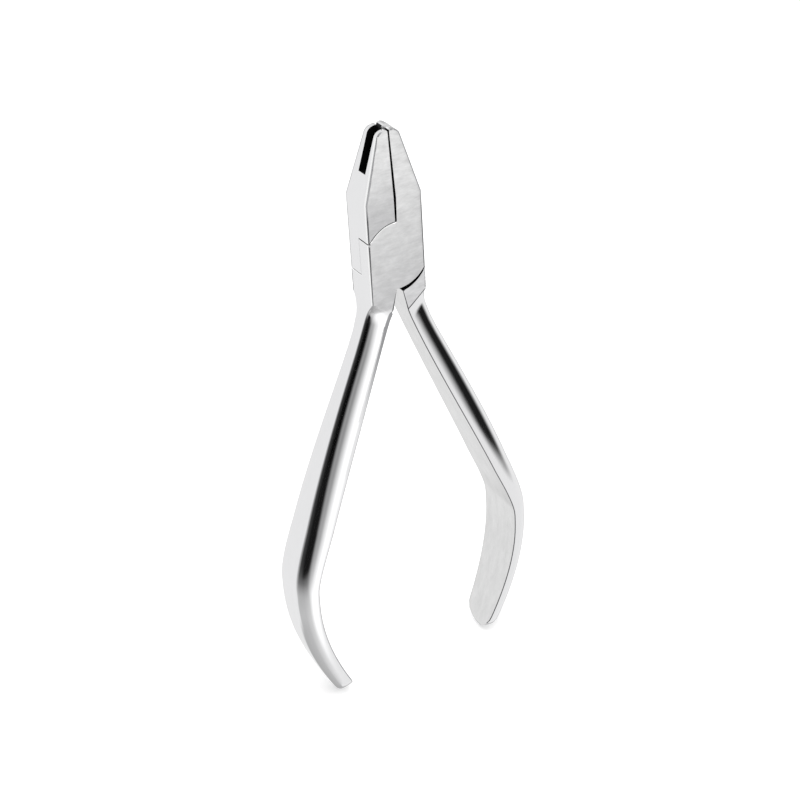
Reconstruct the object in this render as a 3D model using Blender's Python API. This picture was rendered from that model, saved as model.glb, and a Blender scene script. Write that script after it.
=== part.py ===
"""Three-prong orthodontic wire-bending pliers with a screwed lap joint.

The pliers stand upright with the jaws at the top and closed. X is the way the
jaws open, Y is the thickness and Z is the length. The joint axis lies on Y and
passes through the world origin. The front face of the head lies on Y = 0.
"""

import math

import bmesh
import bpy
from mathutils import Vector

# Head and jaws, in metres
HEAD_WIDTH = 0.0123
HEAD_THICKNESS = 0.0081
LAP_RISE = 0.00113
SHOULDER_HEIGHT = 0.0123
JAW_LENGTH = 0.0266
FORK_DROP = 0.0008
FORK_WIDTH = 0.0024
FORK_REACH = 0.00206
FORK_THICKNESS = 0.0048
SLOT_WIDTH = 0.0026
SLOT_DEPTH = 0.0091
MIDDLE_TIP_REACH = 0.00295
NUB_HEIGHT = 0.0034
NUB_LEFT = -0.00015
NUB_RIGHT = 0.0027

# Fork's inner face, right of the joint's centre line, and the gap beside it
FORK_FACE_LOW = -0.00005
FORK_FACE_TOP = 0.00037
JAW_GAP_LOW = 0.0004
JAW_GAP_SHOULDER = 0.00055
JAW_GAP_TOP = 0.00036

# Handles
HANDLE_LENGTH = 0.1038
HANDLE_SPREAD = 0.0500
BEND_DROP = 0.0722
END_GAP = 0.0336
NECK_DROP = 0.0126
NECK_GAP = 0.0035
NECK_CORNER_DROP = 0.0091
CROTCH_OFFSET = 0.0006
NECK_THICKNESS = 0.0040
SHANK_THICKNESS = 0.0053
GRIP_THICKNESS = 0.0042
END_THICKNESS = 0.0036
NECK_WIDTH = 0.0070
GRIP_WIDTH = 0.0122
END_WIDTH = 0.0085
NECK_CROWN = 0.0022
GRIP_CROWN = 0.0051
NECK_BLEND = 0.0015
CORNER_BLEND = 0.0037
END_ROUND = 0.0047
CAP_ROUND = 0.0025
END_STUB = 0.00015

# Joint screw
SCREW_HEAD_DIAMETER = 0.0080
SCREW_HEAD_HEIGHT = 0.0016
SCREW_SHANK_DIAMETER = 0.0046
SCREW_BEVEL = 0.00024
DRIVER_SLOT_WIDTH = 0.0009
DRIVER_SLOT_DEPTH = 0.0008
FRONT_WALL = 0.0010

# Room between pieces
CLEARANCE = 0.0003
LAP_CLEARANCE = 0.0003
RELIEF_SIDE = 0.00040
RELIEF_DROP = 0.00062

# Sizes that follow from the ones above
HALF_HEAD = HEAD_WIDTH / 2
HALF_THICK = HEAD_THICKNESS / 2
LAP_RADIUS = HALF_HEAD + LAP_RISE
NUB_THICKNESS = SLOT_WIDTH - 2 * CLEARANCE
NUB_LOW = JAW_LENGTH - NUB_HEIGHT
FORK_TOP = JAW_LENGTH - FORK_DROP
SCREW_FACE = HALF_THICK - CLEARANCE / 3
SCREW_END = -(HALF_THICK - FRONT_WALL - CLEARANCE)

# Shape of the handle's inner line: where the straight run ends, and its slopes
SHANK_OUT = 0.795
SHANK_DOWN = 0.768
NECK_SLOPE = 0.93
NECK_PULL = 0.33
SHANK_PULL = 0.28
BEND_PULL = 0.22
GRIP_PULL = 0.12
END_PULL = 0.62
END_SLOPE = 0.51

# How the handle's section closes at its end: shares of the thickness there
CAP_SINK = 0.42
CAP_CLOSE = 0.84
SLIM_POWER = 1.6

# Rounding of the prongs, in shares of the tip's width or height
FACE_ROUND = 0.20
SIDE_ROUND = 0.46
CREST_SHARE = 0.17
TOP_SHARE = 0.80
NUB_CREST = 0.20
NUB_TOP = 0.68
NUB_SIDE_ROUND = 0.42
NUB_FACE = 0.62
NUB_HEEL = 0.12
NUB_TOE = 0.30
NUB_ROOT = 0.60

# Fineness of the curves
NECK_SHARES = (0.0, 0.006, 0.015, 0.028, 0.045)
SHANK_STEPS = 15
BEND_STEPS = 10
GRIP_STEPS = 26
GRIP_CROWDING = 1.9
SIDE_SEGMENTS = 9
ARC_SEGMENTS = 14
ROUND_SEGMENTS = 64


def clear_scene():
    """Takes every object out of the new file."""
    for item in list(bpy.data.objects):
        bpy.data.objects.remove(item, do_unlink=True)


def make_metal(name, colour, roughness):
    """One plain metal finish."""
    material = bpy.data.materials.new(name)
    material.use_nodes = True
    shader = material.node_tree.nodes["Principled BSDF"]
    shader.inputs["Base Color"].default_value = (*colour, 1.0)
    shader.inputs["Metallic"].default_value = 1.0
    shader.inputs["Roughness"].default_value = roughness
    material.diffuse_color = (*colour, 1.0)
    return material


def link_mesh(name, work, material=None):
    """Turns the working mesh, drawn about mid-thickness, into an object on the joint axis."""
    bmesh.ops.remove_doubles(work, verts=work.verts, dist=1e-7)
    bmesh.ops.recalc_face_normals(work, faces=work.faces)
    mesh = bpy.data.meshes.new(name)
    work.to_mesh(mesh)
    work.free()
    item = bpy.data.objects.new(name, mesh)
    item.location.y = HALF_THICK
    bpy.context.scene.collection.objects.link(item)
    if material is not None:
        mesh.materials.append(material)
    return item


def cut(item, cutter):
    """Takes the cutter's shape out of the item and hides the cutter."""
    tool = item.modifiers.new(cutter.name, "BOOLEAN")
    tool.operation = "DIFFERENCE"
    tool.solver = "EXACT"
    tool.object = cutter
    cutter.hide_render = True
    cutter.display_type = "WIRE"


def fuse(item, added):
    """Makes the added shape one body with the item and hides the added one."""
    tool = item.modifiers.new(added.name, "BOOLEAN")
    tool.operation = "UNION"
    tool.solver = "EXACT"
    tool.object = added
    added.hide_render = True
    added.display_type = "WIRE"


def make_disc(name, centre_x, centre_z, radius, y_low, y_high):
    """A round plug standing along the joint axis."""
    work = bmesh.new()
    low = []
    high = []
    for step in range(ROUND_SEGMENTS):
        angle = math.tau * (step + 0.5) / ROUND_SEGMENTS
        x = centre_x + radius * math.cos(angle)
        z = centre_z + radius * math.sin(angle)
        low.append(work.verts.new((x, y_low, z)))
        high.append(work.verts.new((x, y_high, z)))
    work.faces.new(low)
    work.faces.new(high[::-1])
    for step in range(ROUND_SEGMENTS):
        after = (step + 1) % ROUND_SEGMENTS
        work.faces.new((low[step], low[after], high[after], high[step]))
    return link_mesh(name, work)


def make_block(name, low, high):
    """A plain block between two corners."""
    work = bmesh.new()
    bmesh.ops.create_cube(work, size=1.0)
    for vert in work.verts:
        for axis in range(3):
            span = high[axis] - low[axis]
            vert.co[axis] = low[axis] + span * (vert.co[axis] + 0.5)
    return link_mesh(name, work)


def mix(start, end, part):
    """A value part of the way between two others."""
    return start + (end - start) * part


def bezier(points, part):
    """A point and the direction of travel on a four-point curve."""
    a, b, c, d = points
    rest = 1.0 - part
    place = a * rest ** 3 + b * 3 * part * rest ** 2 + c * 3 * part ** 2 * rest + d * part ** 3
    travel = (b - a) * rest ** 2 + (c - b) * 2 * part * rest + (d - c) * part ** 2
    return place, travel.normalized()


def arc(start_angle, end_angle, radius, count):
    """Points on a circle about the joint axis, both ends included."""
    out = []
    for step in range(count + 1):
        angle = mix(start_angle, end_angle, step / count)
        out.append(Vector((radius * math.cos(angle), radius * math.sin(angle))))
    return out


def taper(height, top, top_half):
    """Half thickness of a jaw that thins evenly from the shoulder to the top."""
    part = (height - SHOULDER_HEIGHT) / (top - SHOULDER_HEIGHT)
    return mix(HALF_THICK, top_half, min(max(part, 0.0), 1.0))


def inner_curve():
    """The three curves that the inner face of a handle follows."""
    neck = Vector((NECK_GAP / 2, -NECK_DROP))
    bend = Vector((HANDLE_SPREAD / 2, -BEND_DROP))
    end = Vector((END_GAP / 2, -HANDLE_LENGTH))
    shank = Vector((mix(neck.x, bend.x, SHANK_OUT), mix(neck.y, bend.y, SHANK_DOWN)))
    slope = (bend - neck).normalized()
    lead = Vector((NECK_SLOPE * slope.x, slope.y)).normalized()
    away = Vector((-END_SLOPE, -1.0)).normalized()
    reach = (shank - neck).length
    turn = (bend - shank).length
    fall = (end - bend).length
    down = Vector((0.0, -1.0))
    return (
        (neck, neck + lead * reach * NECK_PULL, shank - slope * reach * SHANK_PULL, shank),
        (shank, shank + slope * turn * BEND_PULL, bend - down * turn * BEND_PULL, bend),
        (bend, bend + down * fall * GRIP_PULL, end - away * fall * END_PULL, end),
    )


def handle_stations():
    """Places along a handle: inner point and direction of travel."""
    shank, bend, grip = inner_curve()
    shares = [(shank, share) for share in NECK_SHARES]
    shares += [(shank, (step + 1) / SHANK_STEPS) for step in range(SHANK_STEPS)]
    shares += [(bend, (step + 1) / BEND_STEPS) for step in range(BEND_STEPS)]
    for step in range(GRIP_STEPS):
        shares.append((grip, 1 - (1 - (step + 1) / GRIP_STEPS) ** GRIP_CROWDING))
    return [bezier(curve, share) for curve, share in shares]


def through(first, middle, last, share):
    """A smooth value that passes a middle one half way along."""
    level = mix(first, last, share)
    return level + (middle - (first + last) / 2) * 4 * share * (1 - share)


def section_sizes(depth, gone, left, below):
    """Half width, half crown, thickness and end rounding of a handle at one place.

    depth: share of the run from the neck to the bend, at most 1.
    gone: length run from the neck. left: length still to run.
    below: share of the run from the bend to the end, 0 above the bend.
    """
    rise = depth * depth * (3 - 2 * depth)
    half = mix(NECK_WIDTH, GRIP_WIDTH, rise) / 2
    crown = mix(NECK_CROWN, GRIP_CROWN, rise) / 2
    thick = through(NECK_THICKNESS, SHANK_THICKNESS, GRIP_THICKNESS, depth)
    fade = math.exp(-gone / NECK_BLEND)
    half += (HALF_THICK - NECK_WIDTH / 2) * fade
    crown += (HALF_THICK - NECK_CROWN / 2) * fade
    slim = mix(1.0, END_WIDTH / GRIP_WIDTH, below ** SLIM_POWER)
    curl = max(1 - left / END_ROUND, 0.0)
    close = slim * math.sqrt(1 - curl * curl)
    cap = max(1 - left / CAP_ROUND, 0.0)
    thick = mix(thick, END_THICKNESS, below * below)
    return half * close, crown * close, thick, 1 - math.sqrt(1 - cap * cap)


def handle_ring(inner, travel, half, crown, thick, lean):
    """One section of a handle: flat inner face, round sides, flat crown on the outer side."""
    outward = Vector((-travel.y, travel.x))
    turned = Vector((
        outward.x * math.cos(lean) - outward.y * math.sin(lean),
        outward.x * math.sin(lean) + outward.y * math.cos(lean),
    ))
    points = []
    for step in range(SIDE_SEGMENTS + 1):
        angle = math.pi / 2 * step / SIDE_SEGMENTS
        spot = inner + turned * thick * math.sin(angle)
        points.append((-spot.x, -(crown + (half - crown) * math.cos(angle)), spot.y))
    back = [(x, -y, z) for x, y, z in reversed(points)]
    return points + back


def handle_rings():
    """Every section of a handle from the neck to the rounded end."""
    stations = handle_stations()
    gone = [0.0]
    for before, after in zip(stations, stations[1:]):
        gone.append(gone[-1] + (after[0] - before[0]).length)
    total = gone[-1]
    bend_run = gone[-GRIP_STEPS - 1]
    corner = Vector((HALF_HEAD, -NECK_CORNER_DROP))
    first = corner - stations[0][0]
    outward = Vector((-stations[0][1].y, stations[0][1].x))
    lean = math.atan2(first.y, first.x) - math.atan2(outward.y, outward.x)
    rings = []
    for (inner, travel), run in zip(stations, gone):
        left = total - run + END_STUB
        below = max(run - bend_run, 0.0) / (total - bend_run)
        half, crown, thick, cap = section_sizes(min(run / bend_run, 1.0), run, left, below)
        ease = math.exp(-run / CORNER_BLEND)
        if run == 0.0:
            half = crown = HALF_THICK
        thick = mix(thick, first.length, ease)
        sunk = inner + Vector((-travel.y, travel.x)) * thick * cap * CAP_SINK
        thick *= 1 - CAP_CLOSE * cap
        rings.append(handle_ring(sunk, travel, half, crown, thick, lean * ease))
    return rings


def head_outline(jaw_face, jaw_side):
    """Outline of a lever's head from the neck's outer corner round to the crotch.

    It is seen from the front with the jaw on the +X side, and follows the round
    lap, the jaw's inner face, the shoulder and the round lap again.
    """
    side_angle = math.acos(HALF_HEAD / LAP_RADIUS)
    face_angle = math.acos(jaw_face[0].x / LAP_RADIUS)
    crotch_angle = -math.pi / 2 - math.asin(CROTCH_OFFSET / LAP_RADIUS)
    outline = arc(math.pi - side_angle, face_angle, LAP_RADIUS, ARC_SEGMENTS)
    outline += [jaw_face[1], jaw_side]
    outline += arc(-side_angle, crotch_angle, LAP_RADIUS, ARC_SEGMENTS)
    return outline


def add_sheet(work, points, half_of, sign):
    """One flat outline placed on the front or back of a lever."""
    verts = []
    for point in points:
        verts.append(work.verts.new((point.x, sign * half_of(point.y), point.y)))
    return verts


def lever_blank(name, head, loops, half_of, side, material):
    """Plate and handle of one lever in full thickness.

    head: outline below the shoulder. loops: outlines above the shoulder.
    half_of: half thickness at a height. side: +1 or -1, the way the jaw lies.
    """
    work = bmesh.new()
    rings = [[work.verts.new(place) for place in ring] for ring in handle_rings()]
    join = rings[0]
    count = len(join)
    half_count = count // 2
    front = add_sheet(work, head, half_of, -1)
    back = add_sheet(work, head, half_of, 1)
    work.faces.new(front + join[:half_count])
    work.faces.new(back + join[:half_count - 1:-1])
    close_sides(work, front, back, False)
    work.faces.new((front[-1], back[-1], join[-1], join[0]))
    work.faces.new((front[0], join[half_count - 1], join[half_count], back[0]))
    for loop in loops:
        front = add_sheet(work, loop, half_of, -1)
        back = add_sheet(work, loop, half_of, 1)
        work.faces.new(front)
        work.faces.new(back)
        close_sides(work, front, back, True)
    for before, after in zip(rings, rings[1:]):
        for step in range(count):
            later = (step + 1) % count
            work.faces.new((before[step], before[later], after[later], after[step]))
    work.faces.new(rings[-1])
    bmesh.ops.remove_doubles(work, verts=work.verts, dist=1e-7)
    drop_inner_faces(work)
    for vert in work.verts:
        vert.co.x *= side
        vert.co.y *= side
    return link_mesh(name, work, material)


def close_sides(work, front, back, whole):
    """Joins a front outline to its back outline."""
    last = len(front) if whole else len(front) - 1
    for step in range(last):
        later = (step + 1) % len(front)
        work.faces.new((front[step], front[later], back[later], back[step]))


def drop_inner_faces(work):
    """Takes away the wall that two touching outlines share."""
    walls = [face for face in work.faces if all(len(edge.link_faces) > 2 for edge in face.edges)]
    bmesh.ops.delete(work, geom=walls, context="FACES_ONLY")


def round_tip(start, top, end, count):
    """A rounded end from one side of a prong over its top to the other side."""
    out = []
    for step in range(1, count):
        part = step / count
        low = start * (1 - part) ** 2 + top * 2 * part * (1 - part) + end * part ** 2
        out.append(low)
    return out


def jaw_outline(face, reach, shoulder):
    """Outline of a jaw above the shoulder, drawn with the jaw on the +X side.

    face: points of the inner face, of which the last is just below the rounded top.
    reach: where the outer side stands at the top.
    """
    side = face[-1].x
    crest = Vector((mix(side, reach, CREST_SHARE), FORK_TOP))
    corner = Vector((reach, FORK_TOP - SIDE_ROUND * FORK_WIDTH))
    outline = face[1:]
    outline += round_tip(face[-1], Vector((side, FORK_TOP)), crest, 4)
    outline += [crest]
    outline += round_tip(crest, Vector((mix(side, reach, TOP_SHARE), FORK_TOP)), corner, 8)
    return outline + [corner, shoulder]


def build_nub():
    """Thin tongue that makes the middle prong: it stands left of its jaw, in the fork's slot."""
    crest = Vector((mix(NUB_LEFT, NUB_RIGHT, NUB_CREST), JAW_LENGTH))
    left = Vector((NUB_LEFT, mix(NUB_LOW, JAW_LENGTH, NUB_FACE)))
    right = Vector((NUB_RIGHT, FORK_TOP - NUB_SIDE_ROUND * FORK_WIDTH))
    outline = [
        Vector((mix(NUB_LEFT, NUB_RIGHT, NUB_ROOT), NUB_LOW)),
        Vector((mix(NUB_LEFT, NUB_RIGHT, NUB_TOE), NUB_LOW)),
        Vector((NUB_LEFT, mix(NUB_LOW, JAW_LENGTH, NUB_HEEL))),
        left,
    ]
    outline += round_tip(left, Vector((NUB_LEFT, JAW_LENGTH)), crest, 5)
    outline += [crest]
    outline += round_tip(crest, Vector((mix(NUB_LEFT, NUB_RIGHT, NUB_TOP), JAW_LENGTH)), right, 9)
    outline += [right]
    work = bmesh.new()
    front = add_sheet(work, outline, lambda height: NUB_THICKNESS / 2, -1)
    back = add_sheet(work, outline, lambda height: NUB_THICKNESS / 2, 1)
    work.faces.new(front)
    work.faces.new(back)
    close_sides(work, front, back, True)
    return link_mesh("middle_nub", work)


def jaw_half(height):
    """Half thickness of either jaw: it thins evenly from the shoulder to the fork's top."""
    return taper(height, FORK_TOP, FORK_THICKNESS / 2)


def build_front_lever(material):
    """Lever with the single middle prong at the top right and the handle at the left."""
    low = FORK_FACE_LOW + JAW_GAP_LOW
    face = [
        Vector((low, math.sqrt(LAP_RADIUS ** 2 - low ** 2))),
        Vector((FORK_FACE_LOW + JAW_GAP_SHOULDER, SHOULDER_HEIGHT)),
        Vector((FORK_FACE_TOP + JAW_GAP_TOP, FORK_TOP - FACE_ROUND * FORK_WIDTH)),
    ]
    shoulder = Vector((HALF_HEAD, SHOULDER_HEIGHT))
    head = head_outline(face, shoulder)
    jaw = jaw_outline(face, MIDDLE_TIP_REACH, shoulder)
    lever = lever_blank("front_lever", head, [jaw], jaw_half, 1, material)
    fuse(lever, build_nub())
    cut_lap(lever, 1)
    bore = make_disc("front_bore", 0.0, 0.0, SCREW_SHANK_DIAMETER / 2 + CLEARANCE,
                     SCREW_END - CLEARANCE, HALF_THICK)
    cut(lever, bore)
    return lever


def build_back_lever(material):
    """Lever with the two outer prongs at the top left and the handle at the right."""
    face = [
        Vector((-FORK_FACE_LOW, math.sqrt(LAP_RADIUS ** 2 - FORK_FACE_LOW ** 2))),
        Vector((-FORK_FACE_LOW, SHOULDER_HEIGHT)),
        Vector((-FORK_FACE_TOP, FORK_TOP - FACE_ROUND * FORK_WIDTH)),
    ]
    shoulder = Vector((HALF_HEAD, SHOULDER_HEIGHT))
    head = head_outline(face, shoulder)
    jaw = jaw_outline(face, FORK_REACH, shoulder)
    lever = lever_blank("back_lever", head, [jaw], jaw_half, -1, material)
    cut_lap(lever, -1)
    slot = make_block("prong_slot", (-HEAD_WIDTH, -SLOT_WIDTH / 2, JAW_LENGTH - SLOT_DEPTH),
                      (HEAD_WIDTH, SLOT_WIDTH / 2, JAW_LENGTH + SLOT_WIDTH))
    cut(lever, slot)
    bore = make_disc("back_bore", 0.0, 0.0, SCREW_SHANK_DIAMETER / 2 + CLEARANCE,
                     -HALF_THICK, HALF_THICK + CLEARANCE)
    cut(lever, bore)
    seat = make_disc("head_seat", 0.0, 0.0, SCREW_HEAD_DIAMETER / 2 + CLEARANCE,
                     SCREW_FACE - SCREW_HEAD_HEIGHT - CLEARANCE, HALF_THICK + CLEARANCE)
    cut(lever, seat)
    return lever


def cut_lap(lever, side):
    """Takes half the thickness away so that the other lever's round lap lies inside."""
    outer = side * HEAD_THICKNESS
    inner = -side * LAP_CLEARANCE / 2
    low = min(inner, outer)
    high = max(inner, outer)
    radius = LAP_RADIUS + LAP_CLEARANCE
    pocket = make_disc(lever.name + "_lap", 0.0, 0.0, radius, low, high)
    cut(lever, pocket)
    relief = make_disc(lever.name + "_relief", side * RELIEF_SIDE, -RELIEF_DROP, radius, low, high)
    cut(lever, relief)


def build_screw(material):
    """Joint screw with a flush slotted head, put in from the back."""
    under = SCREW_FACE - SCREW_HEAD_HEIGHT
    shank = SCREW_SHANK_DIAMETER / 2
    head = SCREW_HEAD_DIAMETER / 2
    profile = [
        (head - SCREW_BEVEL, SCREW_FACE),
        (head, SCREW_FACE - SCREW_BEVEL),
        (head, under),
        (shank, under),
        (shank, SCREW_END + SCREW_BEVEL),
        (shank - SCREW_BEVEL, SCREW_END),
    ]
    work = bmesh.new()
    rows = []
    for radius, y in profile:
        row = []
        for step in range(ROUND_SEGMENTS):
            angle = math.tau * (step + 0.5) / ROUND_SEGMENTS
            row.append(work.verts.new((radius * math.cos(angle), y, radius * math.sin(angle))))
        rows.append(row)
    for before, after in zip(rows, rows[1:]):
        for step in range(ROUND_SEGMENTS):
            later = (step + 1) % ROUND_SEGMENTS
            work.faces.new((before[step], before[later], after[later], after[step]))
    work.faces.new(rows[0])
    work.faces.new(rows[-1])
    screw = link_mesh("joint_screw", work, material)
    half_slot = DRIVER_SLOT_WIDTH / 2
    slot = make_block("driver_slot",
                      (-SCREW_HEAD_DIAMETER, SCREW_FACE - DRIVER_SLOT_DEPTH, -half_slot),
                      (SCREW_HEAD_DIAMETER, SCREW_FACE + CLEARANCE, half_slot))
    cut(screw, slot)
    return screw


def main():
    """Builds the three pieces of the pliers."""
    clear_scene()
    steel = make_metal("Brushed Stainless Steel", (0.66, 0.66, 0.67), 0.28)
    fork_steel = make_metal("Polished Stainless Steel", (0.70, 0.70, 0.71), 0.18)
    screw_steel = make_metal("Hardened Screw Steel", (0.55, 0.55, 0.57), 0.30)
    build_front_lever(steel)
    build_back_lever(fork_steel)
    build_screw(screw_steel)


main()
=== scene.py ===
"""Looks of three-prong orthodontic pliers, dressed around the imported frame.

The pliers stand upright with the jaws closed at the top. X is the way the jaws
open, Y runs along the joint axis from the front face to the back face, and Z
is the length. All sizes are in metres.
"""

from __future__ import annotations

import logging
import math
from dataclasses import dataclass, field, replace
from enum import Enum
from typing import Callable, Iterable

import bmesh
import bpy
from mathutils import Matrix, Vector


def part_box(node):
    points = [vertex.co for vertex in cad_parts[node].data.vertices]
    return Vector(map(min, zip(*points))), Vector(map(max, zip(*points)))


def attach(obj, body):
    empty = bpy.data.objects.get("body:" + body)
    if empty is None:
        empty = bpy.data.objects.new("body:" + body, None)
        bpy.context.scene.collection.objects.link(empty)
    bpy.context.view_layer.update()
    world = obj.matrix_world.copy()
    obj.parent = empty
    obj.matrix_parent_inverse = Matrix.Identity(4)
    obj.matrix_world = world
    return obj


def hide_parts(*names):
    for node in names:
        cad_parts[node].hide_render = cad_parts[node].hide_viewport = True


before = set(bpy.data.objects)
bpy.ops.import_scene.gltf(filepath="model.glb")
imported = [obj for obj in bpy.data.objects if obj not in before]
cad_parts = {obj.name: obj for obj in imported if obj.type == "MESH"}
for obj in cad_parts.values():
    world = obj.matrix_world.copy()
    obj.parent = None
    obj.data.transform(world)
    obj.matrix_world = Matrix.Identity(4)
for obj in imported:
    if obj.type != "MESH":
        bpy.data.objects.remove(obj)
log = logging.getLogger("pliers")

MM = 0.001

# Points closer than WELD are one, and what lies within TOUCH or NEAR of a face is on it
WELD = 0.001 * MM
TOUCH = 0.03 * MM
NEAR = 0.2 * MM

# Least share of a normal along an axis, for a face that slopes, leans, looks or lies square to it
SLOPING = 0.6
LEANING = 0.7
FACING = 0.9
SQUARE = 0.985
# Most that the normal of a wall, or of a true one, leans, and least that a round wall's is radial
UPRIGHT = 0.3
TRUE_UPRIGHT = 0.05
RADIAL = 0.95

# Shares of a size that end a stretch just short of it, or just past it
SHORT_OF = 0.99
PAST = 1.02

# How strongly the large flat faces lead the shading beside them, out of 100
FLAT_LEAD = 80

# Width of the camera's sensor, in millimetres
SENSOR = 36

# Values between which a noise texture mostly stays, and how much longer its blotches are
NOISE_LOW = 0.3
NOISE_HIGH = 0.7
BLOTCH_STRETCH = 5


class Pick(Enum):
    """What an edit-mode tool works on."""

    POINTS = "VERT"
    EDGES = "EDGE"
    FACES = "FACE"


class Zone(Enum):
    """The finishes that one lever shows, in the order of its material slots; several carry painted light
    or shade.
    """

    POLISHED = 0
    SATIN = 1
    BURNT = 2
    ARRIS = 3
    INNER = 4
    RIM = 5
    HAZE = 6
    CORNER = 7


def linear(code: str) -> tuple[float, float, float, float]:
    """Turns an sRGB hex colour into Blender's linear one.

    Args:
        code: six hex digits after a hash sign.

    Returns:
        Red, green, blue and an alpha of 1.
    """
    shares = [int(code[place:place + 2], 16) / 255 for place in (1, 3, 5)]
    red, green, blue = [
        share / 12.92 if share <= 0.04045 else ((share + 0.055) / 1.055) ** 2.4
        for share in shares
    ]
    return red, green, blue, 1.0


def add_node(tree: bpy.types.NodeTree, kind: str, settings: dict[str | int, object] | None = None,
             links: dict[str | int, bpy.types.NodeSocket] | None = None) -> bpy.types.Node:
    """Adds one shader node.

    Args:
        tree: the node tree that it goes into.
        kind: the node's Blender type name.
        settings: attribute names, or input names and numbers, with their values.
        links: input names or numbers with the output socket that feeds each.

    Returns:
        The new node.
    """
    node = tree.nodes.new(kind)
    for key, value in (settings or {}).items():
        if isinstance(key, str) and hasattr(node, key):
            setattr(node, key, value)
        else:
            node.inputs[key].default_value = value
    for key, socket in (links or {}).items():
        tree.links.new(socket, node.inputs[key])
    return node


@dataclass(frozen=True)
class SteelFinish:
    """One finish of stainless steel.

    Attributes:
        name: the material's name, steel first and then how it was finished.
        colour: sRGB colour of the bare metal.
        roughness: mean roughness.
        spread: how far the roughness wanders either way.
        grain_mm: spacing of the finishing lines across their run.
        run_mm: length of a finishing line.
        direction: the axis, 0 to 2, that the lines run along.
        depth_mm: depth of the lines.
        blotch: how far the tone wanders over a few millimetres, as a share.
        fade_mm: heights between which the finish runs out into the handle's polish, if it does.
        lit_top_colour: sRGB colour that the metal is painted brightening to further up, as painted light,
            if it does.
        light_rise_mm: heights between which that painted light brightens it.
    """

    name: str
    colour: str
    roughness: float
    spread: float
    grain_mm: float
    run_mm: float
    direction: int
    depth_mm: float
    blotch: float = 0.0
    fade_mm: tuple[float, float] | None = None
    lit_top_colour: str | None = None
    light_rise_mm: tuple[float, float] = (-12, 22)

    def build(self) -> bpy.types.Material:
        """Makes the material.

        Returns:
            A metal whose finishing lines change its roughness and its normal.
        """
        material = bpy.data.materials.new(self.name)
        material.use_nodes = True
        tree = material.node_tree
        shader = tree.nodes["Principled BSDF"]
        shader.inputs["Metallic"].default_value = 1.0
        place = add_node(tree, "ShaderNodeTexCoord")
        scale = [1 / (self.grain_mm * MM)] * 3
        scale[self.direction] = 1 / (self.run_mm * MM)
        stretch = add_node(tree, "ShaderNodeMapping", {"Scale": scale},
                           {"Vector": place.outputs["Object"]})
        lines = add_node(tree, "ShaderNodeTexNoise", {"Scale": 1.0, "Detail": 3.0, "Roughness": 0.6},
                         {"Vector": stretch.outputs[0]})
        rough = add_node(tree, "ShaderNodeMapRange", {
            "From Min": NOISE_LOW, "From Max": NOISE_HIGH,
            "To Min": self.roughness - self.spread, "To Max": self.roughness + self.spread,
        }, {"Value": lines.outputs["Fac"]}).outputs[0]
        bump = add_node(tree, "ShaderNodeBump", {"Strength": 1.0, "Distance": self.depth_mm * MM},
                        {"Height": lines.outputs["Fac"]})
        tree.links.new(bump.outputs[0], shader.inputs["Normal"])
        smear = add_node(tree, "ShaderNodeMapping", {"Scale": [share / BLOTCH_STRETCH for share in scale]},
                         {"Vector": place.outputs["Object"]})
        cloud = add_node(tree, "ShaderNodeTexNoise", {"Scale": 1.0, "Detail": 5.0, "Roughness": 0.7},
                         {"Vector": smear.outputs[0]})
        tone = add_node(tree, "ShaderNodeMapRange", {
            "From Min": NOISE_LOW, "From Max": NOISE_HIGH, "To Min": 1 - self.blotch, "To Max": 1.0,
        }, {"Value": cloud.outputs["Fac"]})
        height = add_node(tree, "ShaderNodeSeparateXYZ", None, {0: place.outputs["Object"]})
        # Colour painted lighter with height as painted light, for finishes that have a lit top colour.
        painted_light_share = add_node(tree, "ShaderNodeMapRange", {
            "From Min": self.light_rise_mm[0] * MM, "From Max": self.light_rise_mm[1] * MM,
        }, {"Value": height.outputs["Z"]})
        metal = add_node(tree, "ShaderNodeMix", {
            "data_type": "RGBA", 6: linear(self.colour), 7: linear(self.lit_top_colour or self.colour),
        }, {0: painted_light_share.outputs[0]}).outputs[2]
        colour = add_node(tree, "ShaderNodeMix", {"data_type": "RGBA", "blend_type": "MULTIPLY", 0: 1.0},
                          {6: metal, 7: tone.outputs[0]}).outputs[2]
        if self.fade_mm:
            high, low = self.fade_mm
            gone = add_node(tree, "ShaderNodeMapRange", {
                "interpolation_type": "SMOOTHSTEP", "From Min": high * MM, "From Max": low * MM,
            }, {"Value": height.outputs["Z"]}).outputs[0]
            colour = add_node(tree, "ShaderNodeMix",
                              {"data_type": "RGBA", 7: linear(POLISHED_STEEL.colour)},
                              {0: gone, 6: colour}).outputs[2]
            rough = add_node(tree, "ShaderNodeMix", {3: POLISHED_STEEL.roughness},
                             {0: gone, 2: rough}).outputs[0]
        tree.links.new(colour, shader.inputs["Base Color"])
        tree.links.new(rough, shader.inputs["Roughness"])
        return material


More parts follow.
